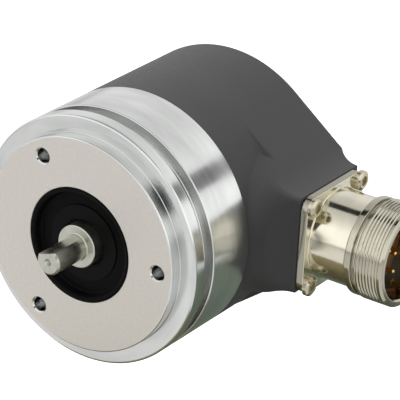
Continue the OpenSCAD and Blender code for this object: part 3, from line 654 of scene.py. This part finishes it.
def screw_head(radius, height, socket, slot_depth, dome):
    """Head of a screw along +Y: a low dome, r falls as the square of the height, with a hexagonal socket."""
    t = np.arange(96) / 96 * TAU
    hexagon = socket / np.cos((t + np.pi / 6) % (np.pi / 3) - np.pi / 6)
    edge = [(0, radius), (height - dome, radius, 0.15 * MM), (height, radius * 0.72, 0.2 * MM)]
    floor = height - slot_depth
    rows = [(y + 0 * t, r + 0 * t) for y, r in outline(edge + [(height, socket * 1.25)])]
    for y, r in (
        (height, hexagon + 0.06 * MM), (height - 0.06 * MM, hexagon), (floor, hexagon),
        (floor, hexagon - 0.05 * MM), (floor - 0.1 * MM, 0 * t),
    ):
        rows.append((y + 0 * t, r))
    y, r = (np.array([q[k] for q in rows]) for k in range(2))
    return Shape().grid(np.stack([r * np.cos(t), y, r * np.sin(t)], 2), wrap_v=True)


def shank(y0, y1, radius, pitch=0.5 * MM):
    """Threaded shank along +Y: r = radius - depth * wave(y / pitch - t / turn), with a closed, bevelled tip."""
    y = np.linspace(y0 + 0.3 * MM, y1, int((y1 - y0) / pitch * 6))[:, None]
    t = (np.arange(36) / 36 * TAU)[None, :]
    wave = 1 - 2 * np.abs(((y - y0) / pitch - t / TAU) % 1 - 0.5)
    r = radius - 0.2 * MM * wave * np.clip((y1 - y) / pitch, 0, 1)
    tip = np.array([[y0, 0], [y0, radius - 0.45 * MM]])
    yy = np.concatenate([tip[:, :1] + 0 * t, y + 0 * t])
    rr = np.concatenate([tip[:, 1:] + 0 * t, r + 0 * t])
    return Shape().grid(np.stack([rr * np.cos(t), yy, rr * np.sin(t)], 2), wrap_v=True)


TO_X = np.array([[0, 1, 0], [-1, 0, 0], [0, 0, 1]])


# Settings

def length(label, text, default):
    return bpy.props.FloatProperty(name=label, description=text, default=default, unit="LENGTH")


def colour(label, text, default):
    return bpy.props.FloatVectorProperty(
        name=label, description=text, default=default, subtype="COLOR", size=3, min=0, max=1
    )


class EncoderSizes(bpy.types.PropertyGroup):
    spigot_radius: length("Spigot radius", "Radius of the centring spigot", BODY_R - 4 * MM)
    hole_circle: length("Hole circle radius", "Radius of the circle of mounting holes", BODY_R - 8 * MM)
    hole_radius: length("Hole radius", "Radius of each mounting hole", 1.65 * MM)
    hole_count: bpy.props.IntProperty(
        name="Holes", description="Number of mounting holes", default=3, min=2, max=6
    )
    flat_angle: bpy.props.FloatProperty(
        name="Flat angle", description="Turn of the shaft's flat", default=np.radians(18.0), unit="ROTATION"
    )
    screw_pitch: length("Plate screw pitch", "Distance between neighbouring plate screws", 19 * MM)
    pillar_circle: length("Pillar circle radius", "Radius of the circle of pillars", -COVERS_LO.x - 2.7 * MM)


class EncoderFinish(bpy.types.PropertyGroup):
    paint: colour("Housing paint", "Colour of the painted casting", (0.056, 0.056, 0.057))
    face: colour("Blasted face", "Colour of the bead-blasted aluminium", (0.62, 0.595, 0.555))
    turned: colour("Turned aluminium", "Colour of the turned aluminium", (0.72, 0.73, 0.72))
    nickel: colour("Nickel", "Colour of the connector's plating", (0.72, 0.685, 0.56))
    steel: colour("Shaft steel", "Colour of the ground steel", (0.52, 0.52, 0.46))
    rubber: colour("Rubber", "Colour of the cap and seals", (0.0045, 0.005, 0.0045))
    gold: colour("Contacts", "Colour of the plated contacts", (0.83, 0.52, 0.16))


def sizes():
    return bpy.context.scene.encoder_sizes


def colours():
    return bpy.context.scene.encoder_finish


def dress(material, *nodes):
    """Gives CAD nodes a material."""
    for name in nodes:
        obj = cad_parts[name]
        obj.data.materials.clear()
        obj.data.materials.append(material)


def flange_metal():
    """Aluminium that is bead-blasted on the front face and turned everywhere else: which of the two a point has
    comes from its place, since the face is the plane y = 0 inside the spigot."""
    c = colours()
    m, n, shader = material("flange_aluminium", 1.0)
    at = n.spot()
    part = n.parts(at)
    front = n.math("LESS_THAN", part[1], 0.12 * MM)
    on_face = n.times(front, n.math("LESS_THAN", n.radius(part), BODY_R - 4.3 * MM))
    marks, broad = n.use(turning_marks(), at, rings=3200.0)
    fine, medium, _ = n.use(surface_grain(), at, fine_scale=5200.0, medium_scale=1300.0, broad_scale=70.0)
    blasted = n.mix(n.span(medium, 0.3, 0.7), tint(c.face, 1.05), tint(c.face, 1.15))
    turned = n.mix(n.span(broad, 0.3, 0.7), tint(c.turned, 0.82), tint(c.turned, 1.06))
    rough_turned = n.span(broad, 0.3, 0.7, 0.14, 0.24)
    rough = n.mix_value(on_face, rough_turned, n.span(medium, 0.3, 0.7, 0.52, 0.62))
    height = n.mix_value(on_face, n.times(marks, 0.35), fine)
    wire_up(n, shader, n.mix(on_face, turned, blasted), rough, height, 0.35)
    return m


def nickel_metal():
    """Nickel plating with turning marks round the connector's own axis: the marks' group turns round Y, so x and y
    change places. By the point's x it carries painted shade: darker and mottled from the ring to the mouth, for the
    shade in the thread's grooves, and darker on the plate's edge, for the shade on its side."""
    c = colours()
    m, n, shader = material("nickel", 1.0)
    part = n.parts(n.add("Mapping", {"Vector": n.spot(), "Location": (0, -CONN_Y, 0)}).outputs[0])
    fine, broad = n.use(turning_marks(), n.joined(part[1], part[0], part[2]), rings=1800.0)
    shade = n.mix(n.span(broad, 0.3, 0.7), tint(c.nickel, 0.93), tint(c.nickel, 1.07))
    # painted shade: from the ring to the mouth the nickel is darkened to between half and 0.85 of its colour and
    # mottled, for the dark look of the thread's grooves
    thread_shade = n.math("GREATER_THAN", part[0], GASKET_HI.x + 11.0 * MM)
    shade = n.mix(thread_shade, shade, n.mix(broad, tint(c.nickel, 0.5), tint(c.nickel, 0.85)))
    # painted shade: the plate's side face, and everything behind its front face, is darkened to half the nickel
    # colour
    plate_edge_shade = n.math("LESS_THAN", part[0], GASKET_HI.x + 1.6 * MM)
    shade = n.mix(plate_edge_shade, shade, tint(c.nickel, 0.5))
    wire_up(n, shader, shade, n.span(broad, 0.3, 0.7, 0.09, 0.17), fine, 0.08)
    return m


def track(n, part, lines, inner, outer):
    """Mask of a ring of dark bars: sin(lines times the angle) is above zero, between two radii."""
    bars = n.math("GREATER_THAN", n.math("SINE", n.times(n.angle(part), lines)), 0.0)
    radius = n.radius(part)
    ring = n.times(n.math("GREATER_THAN", radius, inner), n.math("LESS_THAN", radius, outer))
    return n.times(bars, ring)


def pillar_spots():
    """Centres (x, z) of the three pillars and their screws."""
    return disc_holes(sizes().pillar_circle, 3, np.pi / 3)


def plate_spots():
    """Centres (y, z) of the four plate screws."""
    h = sizes().screw_pitch / 2
    return [(CONN_Y + sy * h, sz * h) for sy in (-1, 1) for sz in (-1, 1)]


class ENCODER_OT_flange(bpy.types.Operator):
    """Flange with its spigot, rim, clamping groove, outer band and mounting holes"""

    bl_idname = "encoder.flange"
    bl_label = "Flange"

    def execute(self, context):
        s = sizes()
        holes = disc_holes(s.hole_circle, s.hole_count)
        shape = flange_shape(s.spigot_radius, CAP_HI.z + 0.02 * MM, holes, s.hole_radius)
        shape.piece("flange_body", "stator", flange_metal(), "flange_aluminium", "flange")
        return {"FINISHED"}


class ENCODER_OT_seal(bpy.types.Operator):
    """Black seal cap with the lip seal round the shaft"""

    bl_idname = "encoder.seal"
    bl_label = "Seal cap"

    def execute(self, context):
        black = colours().rubber
        rubber = grained(
            "cap_rubber", black, 0.38, 0, 3600, 700, bump=0.25, contrast=0.15, Specular_IOR_Level=0.04
        )
        shape = cap_shape(CAP_HI.z, 2.0 * MM, CAP_HI.y, SEAL_HI.z)
        shape.piece("seal_cap_ring", "stator", rubber, "cap_rubber", "seal_cap")
        lip = grained("seal_rubber", black, 0.3, 0, 3000, 600, contrast=0.2, Specular_IOR_Level=0.06)
        dress(lip, "shaft_seal", "housing_o_ring")
        return {"FINISHED"}


class ENCODER_OT_shaft(bpy.types.Operator):
    """Ground shaft with its flat, collar and turned centre"""

    bl_idname = "encoder.shaft"
    bl_label = "Shaft"

    def execute(self, context):
        steel = turned_metal("shaft_steel", colours().steel, 0.3, 5200, 0.2, 0.07)
        shaft_shape(sizes().flat_angle).piece("shaft_rod", "rotor", steel, "shaft_steel", "shaft")
        return {"FINISHED"}


class ENCODER_OT_housing(bpy.types.Operator):
    """Painted casting with the nose that carries the connector"""

    bl_idname = "encoder.housing"
    bl_label = "Housing"

    def execute(self, context):
        paint = grained(
            "housing_paint", colours().paint, 0.5, 0, 3000, 1100, 60, 0.35, 0.04 * MM, 0.06,
            Specular_IOR_Level=0.22,
        )
        shape = housing_shape(BODY_R - 2 * MM, 1.45 * MM, pillar_spots(), 2.9 * MM, 1.0 * MM)
        shape.piece("housing_casting", "stator", paint, "housing_paint", "housing")
        return {"FINISHED"}


class ENCODER_OT_cover_screws(bpy.types.Operator):
    """Screws in the back of the housing"""

    bl_idname = "encoder.cover_screws"
    bl_label = "Housing screws"

    def execute(self, context):
        steel = turned_metal("screw_steel", (0.5, 0.48, 0.44), 0.32, 3000)
        one = screw_head(2.7 * MM, 1.0 * MM, 1.2 * MM, 0.7 * MM, 0.25 * MM)
        one.add(shank(-6 * MM, 0, 1.24 * MM))
        all_of_them = Shape()
        for x, z in pillar_spots():
            all_of_them.add(one, (x, HOUSING_HI.y - 1.0 * MM, z))
        all_of_them.piece("housing_screw_set", "stator", steel, "screw_steel", "housing_screws")
        return {"FINISHED"}


class ENCODER_OT_connector(bpy.types.Operator):
    """Connector shell, its gasket, plate screws, insert and contacts"""

    bl_idname = "encoder.connector"
    bl_label = "Connector"

    def execute(self, context):
        shell = shell_shape(plate_spots())
        shell.piece("connector_barrel", "stator", nickel_metal(), "nickel", "connector_shell")
        bright = turned_metal("screw_nickel", (0.54, 0.5, 0.38), 0.22, 3000, 0.12)
        one = screw_head(2.3 * MM, 1.4 * MM, 1.05 * MM, 0.8 * MM, 0.45 * MM)
        one.add(shank(-6.5 * MM, 0, 1.24 * MM, 0.45 * MM))
        screws = Shape()
        for y, z in plate_spots():
            screws.add(one.turned(TO_X, (GASKET_HI.x + 1.7 * MM, y, z)))
        screws.piece("plate_screw_set", "stator", bright, "screw_steel", "connector_screws")
        dress(grained("gasket_rubber", (0.03, 0.03, 0.03), 0.6, 0, 3000, 800, bump=0.3), "connector_gasket")
        dress(grained("insert_plastic", (0.012, 0.01, 0.008), 0.4, 0, 2600, 700), "connector_insert")
        dress(grained("coding_plastic", (0.36, 0.14, 0.05), 0.42, 0, 2600, 700), "coding_ring")
        dress(grained("contact_gold", colours().gold, 0.22, 1.0, 3000, bump=0.1), "contact_pins")
        return {"FINISHED"}


class ENCODER_OT_bearings(bpy.types.Operator):
    """Finishes of the two ball bearings, the spacer, the spring and the ring that hold them"""

    bl_idname = "encoder.bearings"
    bl_label = "Bearings"

    def execute(self, context):
        races = turned_metal("bearing_steel", (0.56, 0.56, 0.56), 0.2, 5000, 0.12)
        dress(races, "front_outer_race", "front_inner_race", "rear_outer_race", "rear_inner_race")
        balls = grained("ball_steel", (0.72, 0.72, 0.73), 0.06, 1.0, 2500, 700, bump=0.02, contrast=0.03)
        dress(balls, "front_balls", "rear_balls")
        dress(grained("cage_steel", (0.5, 0.47, 0.42), 0.35, 1.0), "front_cage", "rear_cage")
        dress(turned_metal("shield_steel", (0.58, 0.58, 0.57), 0.3, 2500), "front_shields", "rear_shields")
        turned = turned_metal("turned_aluminium", (0.74, 0.74, 0.73), 0.28, 3000, 0.2)
        dress(turned, "bearing_spacer", "disc_hub", "disc_clamp")
        dress(grained("spring_steel", (0.26, 0.25, 0.24), 0.35, 1.0), "wave_spring", "shaft_circlip")
        dress(grained("black_steel", (0.03, 0.03, 0.03), 0.4, 0.5), "hub_set_screw")
        return {"FINISHED"}


class ENCODER_OT_optics(bpy.types.Operator):
    """Code disc with its printed tracks, the reticle, the light source and the detector"""

    bl_idname = "encoder.optics"
    bl_label = "Code disc and sensor"

    def execute(self, context):
        m, n, shader = material("disc_glass", 0.0, IOR=1.5)
        at = n.spot()
        part = n.parts(at)
        tracks = [track(n, part, 250.0, 13.9 * MM, 15.9 * MM), track(n, part, 40.0, 11.8 * MM, 13.2 * MM)]
        seat = n.math("LESS_THAN", n.radius(part), 10.5 * MM)
        dark = n.math("MAXIMUM", n.math("MAXIMUM", *tracks), seat)
        cloud = n.span(n.noise(at, 150.0), 0.3, 0.7)
        glass = n.mix(cloud, (0.66, 0.74, 0.71, 1), (0.74, 0.8, 0.77, 1))
        n.put(n.mix(dark, glass, (0.03, 0.03, 0.035, 1)), shader.inputs["Base Color"])
        n.put(n.math("ADD", n.times(dark, 0.6), 0.38), shader.inputs["Alpha"])
        n.put(n.span(cloud, 0.0, 1.0, 0.03, 0.08), shader.inputs["Roughness"])
        dress(m, "code_disc")
        m, n, shader = material("reticle_glass", 0.0, IOR=1.5, Roughness=0.06)
        at = n.spot()
        bars = n.math("GREATER_THAN", n.math("SINE", n.times(n.angle(n.parts(at)), 250.0)), 0.0)
        glass = n.mix(n.noise(at, 900.0), (0.5, 0.6, 0.5, 1), (0.6, 0.7, 0.6, 1))
        n.put(n.mix(bars, glass, (0.05, 0.06, 0.05, 1)), shader.inputs["Base Color"])
        n.put(n.math("ADD", n.times(bars, 0.4), 0.5), shader.inputs["Alpha"])
        dress(m, "reticle")
        plastic = grained("sensor_plastic", (0.028, 0.028, 0.03), 0.45, 0, 3000, bump=0.25)
        dress(plastic, "light_source", "detector")
        return {"FINISHED"}


class ENCODER_OT_electronics(bpy.types.Operator):
    """Circuit board with its parts, header, pillars and wires"""

    bl_idname = "encoder.electronics"
    bl_label = "Electronics"

    def execute(self, context):
        m, n, shader = material("board_green", 0.0, Coat_Weight=0.3)
        at = n.spot()
        cells = n.add("TexVoronoi", {"Vector": at, "Scale": 420.0}, feature="DISTANCE_TO_EDGE").outputs[0]
        line = n.math("LESS_THAN", n.math("ABSOLUTE", n.math("SUBTRACT", cells, 0.22)), 0.05)
        cloud = n.noise(at, 260.0)
        base = n.mix(n.span(cloud, 0.3, 0.7), (0.012, 0.12, 0.05, 1), (0.02, 0.17, 0.075, 1))
        shade = n.mix(line, base, (0.04, 0.26, 0.12, 1))
        wire_up(n, shader, shade, n.span(cloud, 0.3, 0.7, 0.25, 0.38), line, 0.2, 0.03 * MM)
        dress(m, "circuit_board")
        dress(grained("chip_plastic", (0.028, 0.028, 0.028), 0.5, 0, 3500, bump=0.3), "board_parts")
        dress(grained("header_plastic", (0.7, 0.66, 0.55), 0.45, 0, 2600, 800), "pin_header")
        dress(turned_metal("brass", (0.72, 0.52, 0.22), 0.25, 2500), "front_standoffs", "rear_standoffs")
        dress(grained("wire_plastic", (0.32, 0.07, 0.05), 0.35, 0, 2500, 800, bump=0.15), "wire_harness")
        return {"FINISHED"}


# Camera, lamps and floor

VIEW_RIGHT = Vector((0.8050, 0.5922, 0.0364))
VIEW_UP = Vector((-0.2842, 0.3312, 0.8998))
VIEW_BACK = Vector((0.5207, -0.7347, 0.4349))
VIEW_TARGET = Vector((0.0, 0.020, 0.0))
VIEW_DISTANCE = 0.5795
VIEW_LENS = 36 * 2595.9 / 400
VIEW_SHIFT = (0.1676, 0.0374)


def show_white(m, lit, strength):
    """Adds a plain glow for camera and transmission rays, and a third of it for glossy rays, to a lit surface."""
    n = Nodes(m.node_tree)
    path = n.add("LightPath").outputs
    seen = n.math("MAXIMUM", path["Is Camera Ray"], path["Is Transmission Ray"])
    seen = n.math("MAXIMUM", seen, n.times(path["Is Glossy Ray"], 0.33))
    glow = n.add("Emission", {"Strength": n.times(seen, strength)})
    both = n.add("AddShader", {0: lit, 1: glow.outputs[0]})
    n.put(both.outputs[0], m.node_tree.nodes["Material Output"].inputs[0])


def flat_card(name, centre, across, along, width, length, m):
    """Flat stage card: centre, two directions in its plane and its two sizes."""
    u, v = Vector(across).normalized() * width / 2, Vector(along).normalized() * length / 2
    c = Vector(centre)
    mesh = bpy.data.meshes.new(name)
    mesh.from_pydata([list(c - u - v), list(c + u - v), list(c + u + v), list(c - u + v)], [], [(0, 1, 2, 3)])
    mesh.materials.append(m)
    obj = bpy.data.objects.new(name, mesh)
    bpy.context.scene.collection.objects.link(obj)
    return obj


def reflection_card(name, centre, across, along, width, length, shade):
    """Card that only shows in reflections, as a studio flag does."""
    m, n, shader = material(name, 0.0, Roughness=0.9)
    cloud = n.noise(n.spot(), 3.0)
    n.put(n.mix(cloud, tint(shade, 0.9), tint(shade, 1.1)), shader.inputs["Base Color"])
    card = flat_card(name, centre, across, along, width, length, m)
    card.visible_camera = card.visible_diffuse = card.visible_shadow = card.visible_transmission = False
    return card


def area_lamp(name, place, target, width, height, power):
    lamp = bpy.data.lights.new(name, "AREA")
    lamp.shape, lamp.size, lamp.size_y, lamp.energy = "RECTANGLE", width, height, power
    obj = bpy.data.objects.new(name, lamp)
    bpy.context.scene.collection.objects.link(obj)
    obj.location = place
    obj.rotation_euler = (Vector(target) - Vector(place)).to_track_quat("-Z", "Y").to_euler()
    obj.visible_glossy = False
    return obj


class ENCODER_OT_stage(bpy.types.Operator):
    """Pale floor, a soft lamp, grey cards and the camera"""

    bl_idname = "encoder.stage"
    bl_label = "Stage"

    def execute(self, context):
        scene = context.scene
        floor_z = -0.075
        m, n, shader = material("pale_floor", 0.0, Roughness=0.9)
        cloud = n.noise(n.spot(), 2.0)
        n.put(n.mix(cloud, (0.58, 0.58, 0.58, 1), (0.62, 0.62, 0.62, 1)), shader.inputs["Base Color"])
        show_white(m, shader.outputs[0], 0.8)
        flat_card("floor", (0, 0, floor_z), (1, 0, 0), (0, 1, 0), 8, 8, m)
        world = bpy.data.worlds.new("studio")
        scene.world = world
        world.use_nodes = True
        w = Nodes(world.node_tree)
        back = world.node_tree.nodes["Background"]
        path = w.add("LightPath").outputs
        white = w.math("MAXIMUM", path["Is Camera Ray"], path["Is Transmission Ray"])
        way = w.add("SeparateXYZ", {0: w.add("TexCoord").outputs["Generated"]}).outputs
        up = way[2]
        low = w.span(up, -0.3, 0.05, 0.3, 1.0)
        sky = w.times(low, w.span(up, 0.55, 0.9, 1.3, 0.8))
        sky = w.times(sky, w.span(w.math("SUBTRACT", way[1], way[0]), -0.3, 1.0, 1.05, 0.7))
        sky = w.times(sky, w.math("SUBTRACT", 1.0, w.times(path["Is Diffuse Ray"], 0.7)))
        level = w.add("Mix", {0: white, 2: sky, 3: 1.0}, data_type="FLOAT").outputs[0]
        world.node_tree.links.new(level, back.inputs["Strength"])
        back.inputs["Color"].default_value = (1, 1, 1, 1)
        area_lamp("top_softbox", (-0.02, -0.02, 0.8), (0.01, 0.02, 0), 0.6, 0.6, 6.3)
        east, north = (1, 0, 0), (0, 1, 0)
        near, under = (0.15, 0.1, floor_z + 0.002), (0.015, 0.0, floor_z + 0.004)
        reflection_card("floor_card", near, east, north, 1.0, 0.1, (0.14, 0.17, 0.13))
        # painted shadow: a dark card on the floor under the object, seen only in reflections, stands for the floor's
        # shadow there
        reflection_card("floor_shadow_card", under, east, north, 0.12, 0.1, (0.25, 0.22, 0.13))
        reflection_card("strip_flag", (-0.21, 0.085, 0.52), east, north, 1.0, 0.15, (0.01, 0.01, 0.01))
        slant, lean = (-0.617, 0, 0.787), (0.598, -0.648, 0.469)
        reflection_card("side_flag", (0.32, 0.46, 0.25), slant, lean, 0.12, 0.3, (0.3, 0.3, 0.3))
        behind = VIEW_TARGET + VIEW_BACK.normalized() * (VIEW_DISTANCE + 0.05)
        reflection_card("camera_flag", behind, VIEW_RIGHT, VIEW_UP, 0.2, 0.24, (0.01, 0.014, 0.014))
        lens = bpy.data.cameras.new("camera")
        lens.sensor_width, lens.lens = 36, VIEW_LENS
        lens.shift_x, lens.shift_y = VIEW_SHIFT
        lens.clip_start, lens.clip_end = 0.01, 20
        cam = bpy.data.objects.new("camera", lens)
        scene.collection.objects.link(cam)
        turn = Matrix((VIEW_RIGHT.normalized(), VIEW_UP.normalized(), VIEW_BACK.normalized())).transposed()
        place = VIEW_TARGET + VIEW_BACK.normalized() * VIEW_DISTANCE
        cam.matrix_world = Matrix.Translation(place) @ turn.to_4x4()
        scene.camera = cam
        scene.view_settings.view_transform = "Standard"
        return {"FINISHED"}


class ENCODER_PT_panel(bpy.types.Panel):
    """Lists the encoder's pieces"""

    bl_idname = "ENCODER_PT_panel"
    bl_label = "Encoder"
    bl_space_type = "VIEW_3D"
    bl_region_type = "UI"
    bl_category = "Encoder"

    def draw(self, context):
        for title, settings in (("Sizes", sizes()), ("Finish", colours())):
            box = self.layout.box()
            box.label(text=title)
            for key in settings.__annotations__:
                box.prop(settings, key)
        for op in OPERATORS:
            self.layout.operator(op.bl_idname)


OPERATORS = (
    ENCODER_OT_stage,
    ENCODER_OT_flange,
    ENCODER_OT_seal,
    ENCODER_OT_shaft,
    ENCODER_OT_housing,
    ENCODER_OT_cover_screws,
    ENCODER_OT_connector,
    ENCODER_OT_bearings,
    ENCODER_OT_optics,
    ENCODER_OT_electronics,
)
CLASSES = (EncoderSizes, EncoderFinish, *OPERATORS, ENCODER_PT_panel)


def register():
    for cls in CLASSES:
        bpy.utils.register_class(cls)
    bpy.types.Scene.encoder_sizes = bpy.props.PointerProperty(type=EncoderSizes)
    bpy.types.Scene.encoder_finish = bpy.props.PointerProperty(type=EncoderFinish)


def unregister():
    del bpy.types.Scene.encoder_finish
    del bpy.types.Scene.encoder_sizes
    for cls in reversed(CLASSES):
        bpy.utils.unregister_class(cls)


def main():
    register()
    for op in OPERATORS:
        getattr(bpy.ops.encoder, op.bl_idname.split(".")[1])()


if __name__ == "__main__":
    main()
